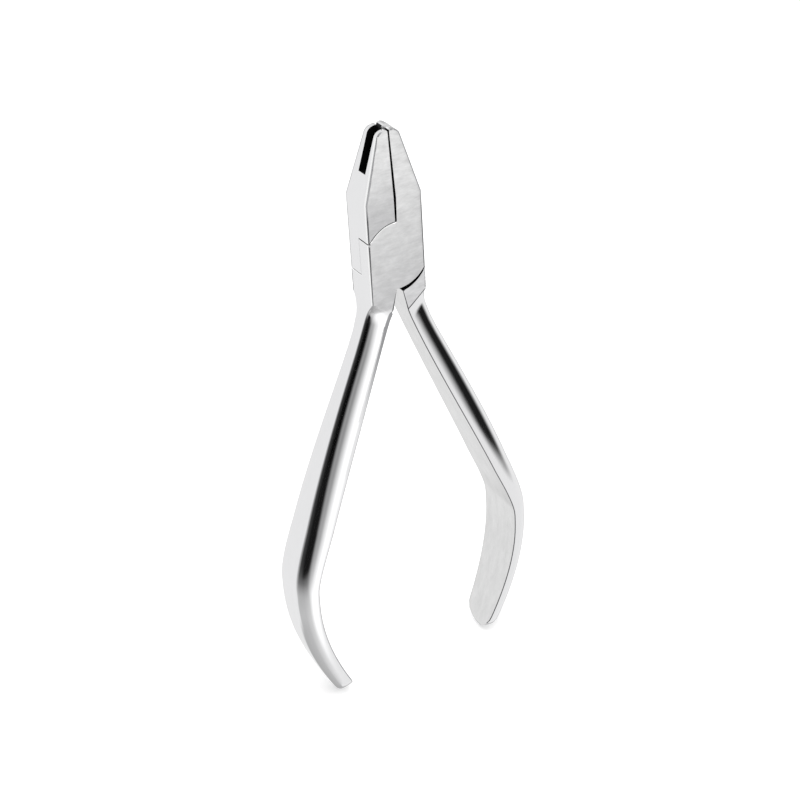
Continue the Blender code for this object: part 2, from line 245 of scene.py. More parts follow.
class Bench:
    """Work on one piece in edit mode, as by hand: pick by place or normal, then use a tool."""

    def __init__(self, piece: bpy.types.Object) -> None:
        """Takes one piece to the bench and lets go of all others.

        Args:
            piece: the object to work on.
        """
        self.piece = piece
        bpy.ops.object.select_all(action="DESELECT")
        piece.select_set(True)
        bpy.context.view_layer.objects.active = piece

    def clear(self) -> None:
        """Selects nothing in the mesh."""
        mesh = self.piece.data
        for kind in (mesh.vertices, mesh.edges, mesh.polygons):
            kind.foreach_set("select", [False] * len(kind))

    def pick_points(self, rule: Callable[[Vector], bool]) -> int:
        """Selects the points whose place fits.

        Args:
            rule: says of a point's place whether it is wanted.

        Returns:
            How many points are selected.
        """
        self.clear()
        found = [point for point in self.piece.data.vertices if rule(point.co)]
        for point in found:
            point.select = True
        return len(found)

    def pick_faces(self, rule: Callable[[bpy.types.MeshPolygon], bool]) -> int:
        """Selects the faces that fit.

        Args:
            rule: says of a face whether it is wanted.

        Returns:
            How many faces are selected.
        """
        self.clear()
        found = [face for face in self.piece.data.polygons if rule(face)]
        for face in found:
            face.select = True
        return len(found)

    def pick_edges(self, angle: float, rule: Callable[[Vector, Vector, Vector], bool]) -> int:
        """Selects the edges whose two faces meet at more than an angle, and that fit.

        Args:
            angle: the least angle between the faces, in radians.
            rule: says of an edge's middle and its faces' normals whether it is wanted.

        Returns:
            How many edges are selected.
        """
        self.clear()
        shape = bmesh.new()
        shape.from_mesh(self.piece.data)
        wanted = []
        for edge in shape.edges:
            if len(edge.link_faces) != 2:
                continue
            middle = (edge.verts[0].co + edge.verts[1].co) / 2
            one, two = [face.normal for face in edge.link_faces]
            if one.angle(two, 0.0) > angle and rule(middle, one, two):
                wanted.append(edge.index)
        shape.free()
        for index in wanted:
            self.piece.data.edges[index].select = True
        return len(wanted)

    def work(self, pick: Pick, tools: Iterable[Callable[[], object]]) -> None:
        """Uses tools on what is selected.

        Args:
            pick: what the tools work on.
            tools: calls to edit-mode operators, in order.
        """
        bpy.context.tool_settings.mesh_select_mode = [pick is other for other in Pick]
        bpy.ops.object.mode_set(mode="EDIT")
        for tool in tools:
            tool()
        bpy.ops.object.mode_set(mode="OBJECT")

    def smooth(self, angle: float) -> None:
        """Shades the piece smooth, with its crisp edges kept and its flats flat.

        Args:
            angle: the least angle of an edge that stays crisp, in radians.
        """
        bpy.ops.object.shade_smooth_by_angle(angle=angle)
        lean = self.piece.modifiers.new("flat faces lead", "WEIGHTED_NORMAL")
        lean.keep_sharp = True
        lean.weight = FLAT_LEAD
        bpy.ops.object.modifier_apply(modifier=lean.name)


# Lines left by belts and mops are finer than the picture shows, so all are drawn coarser.
SATIN_STEEL = SteelFinish(
    # Belt-ground flat faces: a pale sheen with faint lines across the head, painted lighter further up as
    # painted light.
    name="Satin Ground Steel With Painted Light Upward", colour="#D0D0D1", roughness=0.34, spread=0.06,
    grain_mm=0.24, run_mm=0.7, direction=0, depth_mm=0.0012, blotch=0.24,
    fade_mm=(-11.0, -11.9), lit_top_colour="#F6F6F6", light_rise_mm=(-12, 17),
)
LAP_SHADE_PAINTED_STEEL = replace(
    # The back lever's ground flats: painted greyer beside the lap as painted shade, and painted lighter up
    # the jaws as painted light.
    SATIN_STEEL, name="Ground Steel With Painted Shade Beside Lap", colour="#D4D4D5",
    lit_top_colour="#F9F9F9", light_rise_mm=(9, 20), fade_mm=None,
)
CORNER_LIGHT_PAINTED_STEEL = replace(
    # The ground corner under the lap: the same lines, painted paler than beside the lap as painted light.
    LAP_SHADE_PAINTED_STEEL, name="Ground Steel Painted Lighter Under Lap", colour="#E4E4E5", lit_top_colour=None,
)
INNER_STEEL = SteelFinish(
    # Flat inner faces of the handles: linished down their length, pale and finely mottled.
    name="Linished Stainless Steel", colour="#E0E0E0", roughness=0.12, spread=0.04,
    grain_mm=0.40, run_mm=1.2, direction=2, depth_mm=0.0006, blotch=0.12,
)
DARK_STRIP_PAINTED_STEEL = SteelFinish(
    # Where the handle's edge starts at the neck: a smoky strip painted on as a dark reflection, fading out
    # down the handle into the polish.
    name="Steel With Painted Dark Reflection Strip", colour="#9A9A9C", roughness=0.24, spread=0.04,
    grain_mm=0.20, run_mm=3.0, direction=2, depth_mm=0.0004, fade_mm=(-17, -38),
)
HIGHLIGHT_PAINTED_STEEL = SteelFinish(
    # The round lap's chamfered, polished lip and the strips beside the head's front edges: painted near
    # white as a painted highlight, a white thread beside the dark seam.
    name="Steel With Painted Highlight", colour="#F4F4F4", roughness=0.20, spread=0.03,
    grain_mm=0.30, run_mm=3.0, direction=0, depth_mm=0.0004,
)
POLISHED_STEEL = SteelFinish(
    # Mop-polished forging: mirror bright, with the faintest drag marks down its length.
    name="Mirror Polished Stainless Steel", colour="#E6E6E7", roughness=0.085, spread=0.02,
    grain_mm=0.35, run_mm=9.0, direction=2, depth_mm=0.0004, blotch=0.02,
)
DARK_EDGE_PAINTED_STEEL = SteelFinish(
    # Long edges broken by the buff: a thin smoky line painted on as a dark reflection, painted paler up
    # the jaws.
    name="Edge Steel With Painted Dark Reflection", colour="#5C5C5E", roughness=0.30, spread=0.04,
    grain_mm=0.20, run_mm=3.0, direction=2, depth_mm=0.0006, blotch=0.05,
    lit_top_colour="#ABABAD", light_rise_mm=(9.0, 11.5),
)
RECESS_SHADE_PAINTED_STEEL = SteelFinish(
    # Slot, gap and lap walls: painted dark and dull as the shade that falls in these recesses.
    name="Steel With Painted Recess Shade", colour="#2A2A2B", roughness=0.55, spread=0.08,
    grain_mm=0.10, run_mm=0.8, direction=1, depth_mm=0.003,
)
SCREW_STEEL = SteelFinish(
    # Hardened screw, ground flush with the back face: a little greyer than the levers.
    name="Ground Hardened Screw Steel", colour="#C9CACC", roughness=0.27, spread=0.05,
    grain_mm=0.14, run_mm=1.6, direction=2, depth_mm=0.0014, blotch=0.08,
)


@dataclass(frozen=True)
class EdgePass:
    """One kind of edge, and how it is broken.

    Attributes:
        title: the edges' name in the log.
        angle: least angle between such an edge's faces.
        width: width of the strips.
        zone: the finish that they get, or none where they keep their neighbours'.
        profile: 1 for flat strips beside an edge, and less for one that is cut off.
        rule: says of an edge's middle and its faces' normals whether it is one.
    """

    title: str
    angle: float
    width: float
    zone: Zone | None
    profile: float
    rule: Callable[[Vector, Vector, Vector], bool]


@dataclass
class Lever:
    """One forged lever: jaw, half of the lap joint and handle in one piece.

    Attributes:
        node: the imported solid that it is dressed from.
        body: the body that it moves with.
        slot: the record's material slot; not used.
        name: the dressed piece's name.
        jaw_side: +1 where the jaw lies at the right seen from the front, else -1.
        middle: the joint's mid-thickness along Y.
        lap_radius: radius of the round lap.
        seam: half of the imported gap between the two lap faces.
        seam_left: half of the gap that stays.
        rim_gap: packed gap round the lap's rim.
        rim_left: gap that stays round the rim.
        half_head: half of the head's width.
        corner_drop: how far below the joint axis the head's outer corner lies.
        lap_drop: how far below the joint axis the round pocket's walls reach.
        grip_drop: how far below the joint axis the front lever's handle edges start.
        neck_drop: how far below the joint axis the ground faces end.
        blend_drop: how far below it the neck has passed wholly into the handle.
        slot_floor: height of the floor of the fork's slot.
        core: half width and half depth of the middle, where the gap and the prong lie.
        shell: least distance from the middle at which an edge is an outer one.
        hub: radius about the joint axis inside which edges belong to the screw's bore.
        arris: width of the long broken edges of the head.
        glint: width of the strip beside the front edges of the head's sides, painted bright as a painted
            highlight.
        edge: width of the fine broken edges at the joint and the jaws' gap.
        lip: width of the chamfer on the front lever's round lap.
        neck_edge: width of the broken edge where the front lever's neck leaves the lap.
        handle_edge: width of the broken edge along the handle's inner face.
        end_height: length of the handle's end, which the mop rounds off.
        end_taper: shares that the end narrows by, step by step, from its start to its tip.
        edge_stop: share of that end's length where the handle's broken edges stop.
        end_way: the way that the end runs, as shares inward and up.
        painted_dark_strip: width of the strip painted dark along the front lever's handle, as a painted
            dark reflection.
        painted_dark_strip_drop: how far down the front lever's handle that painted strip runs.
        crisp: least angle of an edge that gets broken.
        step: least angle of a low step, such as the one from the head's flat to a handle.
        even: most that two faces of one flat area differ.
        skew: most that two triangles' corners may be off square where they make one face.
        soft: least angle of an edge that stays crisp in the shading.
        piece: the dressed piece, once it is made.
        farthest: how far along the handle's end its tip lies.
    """

    node: str
    body: str
    slot: str
    name: str
    jaw_side: int
    middle: float
    lap_radius: float = 7.28 * MM
    seam: float = 0.15 * MM
    seam_left: float = 0.02 * MM
    rim_gap: float = 0.30 * MM
    rim_left: float = 0.14 * MM
    half_head: float = 6.15 * MM
    corner_drop: float = 9.1 * MM
    lap_drop: float = 10.05 * MM
    grip_drop: float = 12.2 * MM
    neck_drop: float = 12.6 * MM
    blend_drop: float = 16.4 * MM
    slot_floor: float = 17.5 * MM
    core: float = 0.9 * MM
    shell: float = 2.0 * MM
    hub: float = 5.2 * MM
    arris: float = 0.25 * MM
    glint: float = 0.85 * MM
    edge: float = 0.07 * MM
    lip: float = 0.26 * MM
    neck_edge: float = 0.38 * MM
    handle_edge: float = 0.16 * MM
    end_height: float = 3.2 * MM
    end_taper: tuple[float, ...] = (0.985, 0.975, 0.965, 0.95, 0.93, 0.91, 0.88, 0.83)
    edge_stop: float = 0.6
    end_way: tuple[float, float] = (0.64, -0.77)
    painted_dark_strip: float = 0.90 * MM
    painted_dark_strip_drop: float = 44 * MM
    crisp: float = math.radians(33)
    step: float = math.radians(8)
    even: float = math.radians(0.4)
    skew: float = math.radians(60)
    soft: float = math.radians(40)
    piece: bpy.types.Object | None = field(init=False, default=None)
    farthest: float = field(init=False, default=0.0)

    def build(self) -> bpy.types.Object:
        """Models and dresses the lever.

        Returns:
            The finished piece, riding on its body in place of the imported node.
        """
        self.copy_solid()
        self.close_seam()
        self.break_edges()
        self.round_end()
        self.dress()
        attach(self.piece, self.body)
        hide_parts(self.node)
        return self.piece

    def copy_solid(self) -> None:
        """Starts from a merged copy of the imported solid, with flat areas made whole."""
        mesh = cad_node(self.node).data.copy()
        self.farthest = max(self.reach(point.co) for point in mesh.vertices)
        mesh.materials.clear()
        # The back lever's ground flats carry painted shade beside the lap.
        ground = SATIN_STEEL if self.jaw_side > 0 else LAP_SHADE_PAINTED_STEEL
        for finish in (POLISHED_STEEL, ground, RECESS_SHADE_PAINTED_STEEL, DARK_EDGE_PAINTED_STEEL, INNER_STEEL, HIGHLIGHT_PAINTED_STEEL,
                       DARK_STRIP_PAINTED_STEEL, CORNER_LIGHT_PAINTED_STEEL):
            mesh.materials.append(finish_material(finish))
        mesh.polygons.foreach_set("material_index", [0] * len(mesh.polygons))
        self.piece = bpy.data.objects.new(self.name, mesh)
        bpy.context.scene.collection.objects.link(self.piece)
        bench = Bench(self.piece)
        bench.pick_points(lambda place: True)
        bench.work(Pick.POINTS, [
            lambda: bpy.ops.mesh.remove_doubles(threshold=WELD),
            lambda: bpy.ops.mesh.customdata_custom_splitnormals_clear(),
        ])
        bench.pick_faces(lambda face: True)
        bench.work(Pick.FACES, [
            lambda: bpy.ops.mesh.tris_convert_to_quads(
                face_threshold=self.step, shape_threshold=self.skew),
        ])
        bench.pick_faces(lambda face: face.center.z > -SHORT_OF * self.neck_drop)
        bench.work(Pick.FACES, [
            lambda: bpy.ops.mesh.dissolve_limited(angle_limit=self.even),
        ])

    def close_seam(self) -> None:
        """Slides the lap's face and rim towards the other lever until a hairline is left."""
        bench = Bench(self.piece)
        way = self.jaw_side
        face = self.middle - way * self.seam
        bench.pick_points(lambda place: abs(place.y - face) < TOUCH)
        bench.work(Pick.POINTS, [
            lambda: bpy.ops.transform.translate(value=(0, way * (self.seam - self.seam_left), 0)),
        ])
        wall = self.lap_radius + self.rim_gap
        target = self.lap_radius + self.rim_left
        share = target / wall

        def on_wall(place: Vector) -> bool:
            """Tells whether a point lies on the round pocket's wall."""
            return abs(math.hypot(place.x, place.z) - wall) < TOUCH

        bench.pick_points(lambda place: on_wall(place) and abs(place.x) < SHORT_OF * self.half_head)
        bench.work(Pick.POINTS, [
            lambda: bpy.ops.transform.resize(value=(share, 1, share),
                                             center_override=(0, self.middle, 0)),
        ])
        height = math.sqrt(wall ** 2 - self.half_head ** 2)
        fall = height - math.sqrt(target ** 2 - self.half_head ** 2)
        for end in (1, -1):
            bench.pick_points(lambda place: on_wall(place) and place.z * end > 0)
            bench.work(Pick.POINTS, [
                lambda: bpy.ops.transform.translate(value=(0, 0, -end * fall)),
            ])

    @property
    def handle_start(self) -> float:
        """How far below the joint axis this lever's handle edges start."""
        return self.grip_drop if self.jaw_side > 0 else self.lap_drop

    def reach(self, place: Vector) -> float:
        """Tells how far along the handle's end, which curls inward, a place lies."""
        inward, up = self.end_way
        return inward * self.jaw_side * place.x + up * place.z

    def is_rim(self, middle: Vector, normal: Vector, slack: float = 0.8 * MM) -> bool:
        """Tells whether a place lies on the lap's round rim or in its round pocket.

        Args:
            middle: the place.
            normal: the normal of the face there.
            slack: how far from the lap's radius it may lie.

        Returns:
            Whether it does.
        """
        across = Vector((middle.x, 0, middle.z))
        radial = abs(across.normalized().dot(normal)) > RADIAL
        return radial and abs(across.length - self.lap_radius) < slack

    def is_arris(self, middle: Vector, one: Vector, two: Vector) -> bool:
        """Tells whether an edge is a long outer edge of the head or a jaw.

        Args:
            middle: the edge's middle.
            one: the normal of its first face.
            two: the normal of its second face.

        Returns:
            Whether it is.
        """
        flat, wall = sorted((one, two), key=lambda normal: -abs(normal.y))
        outer = abs(middle.x) > self.core and abs(middle.y - self.middle) > self.shell
        past_screw = math.hypot(middle.x, middle.z) > self.hub
        long_edge = outer and past_screw and middle.z > -PAST * self.corner_drop
        return (abs(flat.y) > FACING and abs(wall.y) < UPRIGHT and long_edge
                and not self.is_rim(middle, wall))

    def is_glint(self, middle: Vector, one: Vector, two: Vector) -> bool:
        """Tells whether an edge is a long front one at a side of the head."""
        return (self.is_arris(middle, one, two) and middle.y < self.middle
                and abs(middle.x) > self.shell)

    def is_inward(self, one: Vector, two: Vector) -> bool:
        """Tells whether one of an edge's faces looks towards the other handle."""
        return max(one.x * self.jaw_side, two.x * self.jaw_side) > LEANING

    def is_neck(self, middle: Vector, one: Vector, two: Vector) -> bool:
        """Tells whether an edge is the front lever's inner one, between the lap and the handle."""
        return (self.jaw_side > 0 and self.is_inward(one, two) and min(one.y, two.y) < -FACING
                and -self.grip_drop < middle.z < -self.hub)

    def is_dark_strip_edge(self, middle: Vector, one: Vector, two: Vector) -> bool:
        """Tells whether an edge lies between the front lever's handle crown and inner face."""
        return (self.jaw_side > 0 and self.is_inward(one, two) and middle.y < self.middle
                and -self.painted_dark_strip_drop < middle.z < -self.grip_drop)

    def is_grip(self, middle: Vector, one: Vector, two: Vector) -> bool:
        """Tells whether an edge runs along the handle, short of the handle's end.

        Args:
            middle: the edge's middle.
            one: the normal of its first face.
            two: the normal of its second face.

        Returns:
            Whether it is.
        """
        end = self.farthest - self.edge_stop * self.end_height
        along = middle.z < -self.blend_drop or self.is_inward(one, two)
        return self.reach(middle) < end and middle.z < -self.handle_start and along

    def is_joint(self, middle: Vector, one: Vector, two: Vector) -> bool:
        """Tells whether an edge is another one round a flat of the joint or the jaws.

        Args:
            middle: the edge's middle.
            one: the normal of its first face.
            two: the normal of its second face.

        Returns:
            Whether it is.
        """
        flat = max(abs(one.y), abs(two.y)) > FACING
        taken = self.is_arris(middle, one, two) or self.is_neck(middle, one, two)
        return flat and middle.z > -self.handle_start and not taken

    def is_lip(self, middle: Vector, one: Vector, two: Vector) -> bool:
        """Tells whether an edge is the front lever's lip on the upper part of the lap.

        Args:
            middle: the edge's middle.
            one: the normal of its first face.
            two: the normal of its second face.

        Returns:
            Whether it is.
        """
        flat, wall = sorted((one, two), key=lambda normal: normal.y)
        return (self.jaw_side > 0 and flat.y < -FACING and middle.z > 0
                and self.is_rim(middle, wall, NEAR))

    def is_diagonal(self, middle: Vector, one: Vector, two: Vector) -> bool:
        """Tells whether an edge is the step from the head's flat to the back lever's handle.

        Args:
            middle: the edge's middle.
            one: the normal of its first face.
            two: the normal of its second face.

        Returns:
            Whether it is.
        """
        low, high = sorted((abs(one.y), abs(two.y)))
        return (self.jaw_side < 0 and low > SLOPING and high > SQUARE
                and -self.neck_drop - self.glint < middle.z < -SHORT_OF * self.corner_drop)

    def break_edges(self) -> None:
        """Takes the sharpness off the edges, one kind after another, as a polisher does, and paints some
        strips as highlights or dark reflections.
        """
        # Most passes paint their strips: dark ones as painted dark reflections, bright ones as painted
        # highlights.
        passes = (
            EdgePass("painted_dark_strip", self.crisp, self.painted_dark_strip, Zone.HAZE, 1.0, self.is_dark_strip_edge),
            EdgePass("neck", self.crisp, self.neck_edge, Zone.ARRIS, 0.8, self.is_neck),
            EdgePass("glint", self.crisp, self.glint, Zone.RIM, 1.0, self.is_glint),
            EdgePass("outer", self.crisp, self.arris, Zone.ARRIS, 0.8, self.is_arris),
            EdgePass("diagonal", self.step, self.handle_edge, Zone.ARRIS, 0.5, self.is_diagonal),
            EdgePass("lip", self.crisp, self.lip, Zone.RIM, 0.5, self.is_lip),
            EdgePass("joint", self.crisp, self.edge, None, 0.5, self.is_joint),
            EdgePass("grip", self.crisp, self.handle_edge, Zone.ARRIS, 0.5, self.is_grip),
        )
        bench = Bench(self.piece)
        for kind in passes:
            count = bench.pick_edges(kind.angle, kind.rule)
            log.info("%s: %d %s edges", self.name, count, kind.title)
            if not count:
                continue
            bench.work(Pick.EDGES, [
                lambda: bpy.ops.mesh.bevel(
                    offset=kind.width, segments=2, affect="EDGES", profile=kind.profile,
                    clamp_overlap=kind.zone is None, material=kind.zone.value if kind.zone else -1),
            ])
        bench.pick_faces(lambda face: True)
        bench.work(Pick.FACES, [
            lambda: bpy.ops.mesh.normals_make_consistent(inside=False),
        ])

    def round_end(self) -> None:
        """Narrows the handle's end step by step towards a soft nose."""
        bench = Bench(self.piece)
        for step, share in enumerate(self.end_taper):
            level = self.farthest - self.end_height * (1 - step / len(self.end_taper))
            if not bench.pick_points(lambda place: self.reach(place) > level):
                continue
            found = [point.co for point in self.piece.data.vertices if point.select]
            x, z = [(min(point[axis] for point in found) + max(point[axis] for point in found)) / 2
                    for axis in (0, 2)]
            bench.work(Pick.POINTS, [
                lambda: bpy.ops.transform.resize(value=(share, share, share),
                                                 center_override=(x, self.middle, z)),
            ])

    def is_ground(self, face: bpy.types.MeshPolygon) -> bool:
        """Tells whether a face is one of the flat ground faces at the front or back.

        Args:
            face: the face.

        Returns:
            Whether it is.
        """
        away = face.center.y - self.middle
        outer = face.normal.y * away > 0 and abs(away) > self.core
        if self.jaw_side > 0 and face.center.z < -self.corner_drop:
            return outer and abs(face.normal.y) > SLOPING and face.center.z > -self.blend_drop
        return outer and abs(face.normal.y) > SQUARE and face.center.z > -self.neck_drop

    def is_inner(self, face: bpy.types.MeshPolygon) -> bool:
        """Tells whether a face belongs to the handle's flat inner face."""
        inward = face.normal.x * self.jaw_side > UPRIGHT and abs(face.normal.y) < TRUE_UPRIGHT
        return inward and face.center.z < -self.corner_drop

    def is_recessed(self, face: bpy.types.MeshPolygon) -> bool:
        """Tells whether a face lies inside the joint, the jaws' gap or the fork's slot.

        Args:
            face: the face.

        Returns:
            Whether it is.
        """
        away = face.center.y - self.middle
        if face.center.z < -self.lap_drop:
            return False
        if abs(face.normal.y) > FACING:
            return face.normal.y * away < 0 or abs(away) < NEAR
        if self.is_rim(face.center, face.normal):
            return True
        if abs(face.center.z - self.slot_floor) < NEAR and abs(face.normal.z) > FACING:
            return True
        jaw_face = abs(face.normal.x) > FACING and abs(face.center.x) < self.core
        return jaw_face and face.center.z > self.lap_radius

    def dress(self) -> None:
        """Gives each face its finish: ground flats with painted light and shade, recess walls painted dark
        as shade, edge strips painted as dark reflections or highlights, and polish.
        """
        for face in self.piece.data.polygons:
            if face.material_index == Zone.ARRIS.value:
                continue
            if face.material_index == Zone.RIM.value and abs(face.normal.y) < RADIAL:
                continue
            if face.material_index == Zone.HAZE.value and abs(face.normal.x) < LEANING:
                continue
            zone = Zone.POLISHED
            if self.is_inner(face):
                zone = Zone.INNER
            elif self.is_recessed(face):
                zone = Zone.BURNT
            elif self.is_ground(face):
                # Under the lap the back lever's front ground is painted paler, as painted light.
                corner = self.jaw_side < 0 and face.center.z < 0 and face.center.y < self.middle
                zone = Zone.CORNER if corner else Zone.SATIN
            face.material_index = zone.value
        Bench(self.piece).smooth(self.soft)


@dataclass
class JointScrew:
    """The flush slotted screw that is put in from the back.

    Attributes:
        face: where its head's outer face lies along Y.
        head_radius: radius of the head.
        head_height: height of the head.
        shank_radius: radius of the shank.
        shank_length: length of the shank below the head.
        chamfer: width of the head's chamfer.
        slot_width: width of the driver's slot.
        slot_depth: depth of the driver's slot.
        sides: how many sides its round has.
        crisp: least angle of an edge that is chamfered or stays crisp.
    """

    face: float
    head_radius: float = 4.0 * MM
    head_height: float = 1.6 * MM
    shank_radius: float = 2.3 * MM
    shank_length: float = 5.1 * MM
    chamfer: float = 0.22 * MM
    slot_width: float = 0.9 * MM
    slot_depth: float = 0.8 * MM
    sides: int = 96
    crisp: float = math.radians(30)

    def build(self) -> bpy.types.Object:
        """Turns the screw, cuts its slot and dresses it.

        Returns:
            The finished screw, riding with the front lever.
        """
        bpy.ops.object.select_all(action="DESELECT")
        bpy.ops.mesh.primitive_cylinder_add(
            vertices=self.sides, radius=self.head_radius, depth=self.head_height,
            location=(0, self.face - self.head_height / 2, 0), rotation=(math.pi / 2, 0, 0))
        piece = bpy.context.object
        piece.name = "joint_screw_ground"
        bpy.ops.object.transform_apply(location=True, rotation=True, scale=True)
        bench = Bench(piece)
        bench.pick_edges(self.crisp, lambda middle, one, two: middle.y > self.face - NEAR)
        bench.work(Pick.EDGES, [
            lambda: bpy.ops.mesh.bevel(offset=self.chamfer, segments=2, affect="EDGES"),
        ])
        bench.pick_faces(lambda face: face.normal.y < -FACING)
        bench.work(Pick.FACES, [
            lambda: bpy.ops.mesh.inset(thickness=self.head_radius - self.shank_radius),
            lambda: bpy.ops.mesh.extrude_region_move(
                TRANSFORM_OT_translate={"value": (0, -self.shank_length, 0)}),
        ])
        bpy.ops.object.select_all(action="DESELECT")
        bpy.ops.mesh.primitive_cube_add(size=1, location=(0, self.face, 0))
        cutter = bpy.context.object
        cutter.scale = (3 * self.head_radius, 2 * self.slot_depth, self.slot_width)
        bpy.ops.object.transform_apply(location=True, rotation=True, scale=True)
        bench = Bench(piece)
        slot = piece.modifiers.new("driver slot", "BOOLEAN")
        slot.operation = "DIFFERENCE"
        slot.object = cutter
        bpy.ops.object.modifier_apply(modifier=slot.name)
        bpy.data.objects.remove(cutter)
        bench.smooth(self.crisp)
        piece.data.materials.clear()
        for finish in (SCREW_STEEL, RECESS_SHADE_PAINTED_STEEL):
            piece.data.materials.append(finish_material(finish))
        # Faces in the driver's slot are painted dark, as the shade that falls in it.
        for face in piece.data.polygons:
            shaded_slot_face = TOUCH < self.face - face.center.y < PAST * self.slot_depth
            face.material_index = int(shaded_slot_face and abs(face.center.z) < PAST * self.slot_width / 2)
        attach(piece, "front_body")
        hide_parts("joint_screw")
        return piece


FINISHES: dict[str, bpy.types.Material] = {}


def finish_material(finish: SteelFinish) -> bpy.types.Material:
    """Gives a finish's material, made the first time that it is asked for.

    Args:
        finish: the finish.

    Returns:
        Its material.
    """
    if finish.name not in FINISHES:
        FINISHES[finish.name] = finish.build()
    return FINISHES[finish.name]


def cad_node(name: str) -> bpy.types.Object:
    """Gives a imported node's object."""
    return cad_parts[name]


@dataclass(frozen=True)
class Glow:
    """A bright patch of the studio, seen from the pliers.

    Attributes:
        azimuth: where its middle lies, in degrees from -Y towards +X.
        elevation: how high its middle lies, in degrees.
        half_width: half its width in degrees.
        half_height: half its height in degrees.
        core: share of its half size that has full strength.
        extra: how much light its middle adds.
    """

    azimuth: float
    elevation: float
    half_width: float
    half_height: float
    core: float
    extra: float


@dataclass(frozen=True)
class Card:
    """A soft-edged black card beside the set, which only the steel sees.

    Attributes:
        azimuth: where it stands, in degrees from -Y towards +X.
        distance: how far it stands from the joint's axis.
        half_width: half its width.
        core: share of the half width that is fully dark.
        low: height of its lower edge.
        high: height of its upper edge.
        soft: share of its half height over which the lower and upper edges fade.
        level: what light the dark part still gives.
    """

    azimuth: float
    distance: float
    half_width: float
    core: float
    low: float
    high: float
    soft: float
    level: float

    def build(self, title: str) -> bpy.types.Object:
        """Stands the card up.

        Args:
            title: the card's name.

        Returns:
            The card, hidden from the camera and from the lamps.
        """
        turn = math.radians(self.azimuth)
        bpy.ops.object.select_all(action="DESELECT")
        bpy.ops.mesh.primitive_plane_add(
            size=2, rotation=(math.pi / 2, 0, turn),
            location=(self.distance * math.sin(turn), -self.distance * math.cos(turn),
                      (self.low + self.high) / 2))
        card = bpy.context.object
        card.name = title
        card.scale = (self.half_width, (self.high - self.low) / 2, 1)
        for kind in ("camera", "diffuse", "transmission", "volume_scatter", "shadow"):
            setattr(card, "visible_" + kind, False)
        card.data.materials.append(self.paint(title))
        return card

    def paint(self, title: str) -> bpy.types.Material:
        """Makes the card's cloth: black in the middle and sheer at its edges.

        Args:
            title: the card's name.

        Returns:
            The cloth's material.
        """
        material = bpy.data.materials.new("Black Gauze " + title)
        material.use_nodes = True
        tree = material.node_tree
        tree.nodes.clear()
        place = add_node(tree, "ShaderNodeTexCoord")
        split = add_node(tree, "ShaderNodeSeparateXYZ", None, {0: place.outputs["Object"]})
        aside = add_node(tree, "ShaderNodeMath", {"operation": "ABSOLUTE"}, {0: split.outputs["X"]})
        across = add_node(tree, "ShaderNodeMapRange", {
            "interpolation_type": "SMOOTHSTEP", "From Min": 1.0, "From Max": self.core,
        }, {"Value": aside.outputs[0]})
        level = add_node(tree, "ShaderNodeMath", {"operation": "ABSOLUTE"}, {0: split.outputs["Y"]})
        along = add_node(tree, "ShaderNodeMapRange", {
            "interpolation_type": "SMOOTHSTEP", "From Min": 1.0, "From Max": 1 - self.soft,
        }, {"Value": level.outputs[0]})
        cover = add_node(tree, "ShaderNodeMath", {"operation": "MULTIPLY"},
                         {0: across.outputs[0], 1: along.outputs[0]})
        sheer = add_node(tree, "ShaderNodeBsdfTransparent")
        black = add_node(tree, "ShaderNodeEmission", {"Color": (1, 1, 1, 1), "Strength": self.level})
        cloth = add_node(tree, "ShaderNodeMixShader", None, {
            0: cover.outputs[0], 1: sheer.outputs[0], 2: black.outputs[0]})
        out = add_node(tree, "ShaderNodeOutputMaterial")
        tree.links.new(cloth.outputs[0], out.inputs[0])
        return material


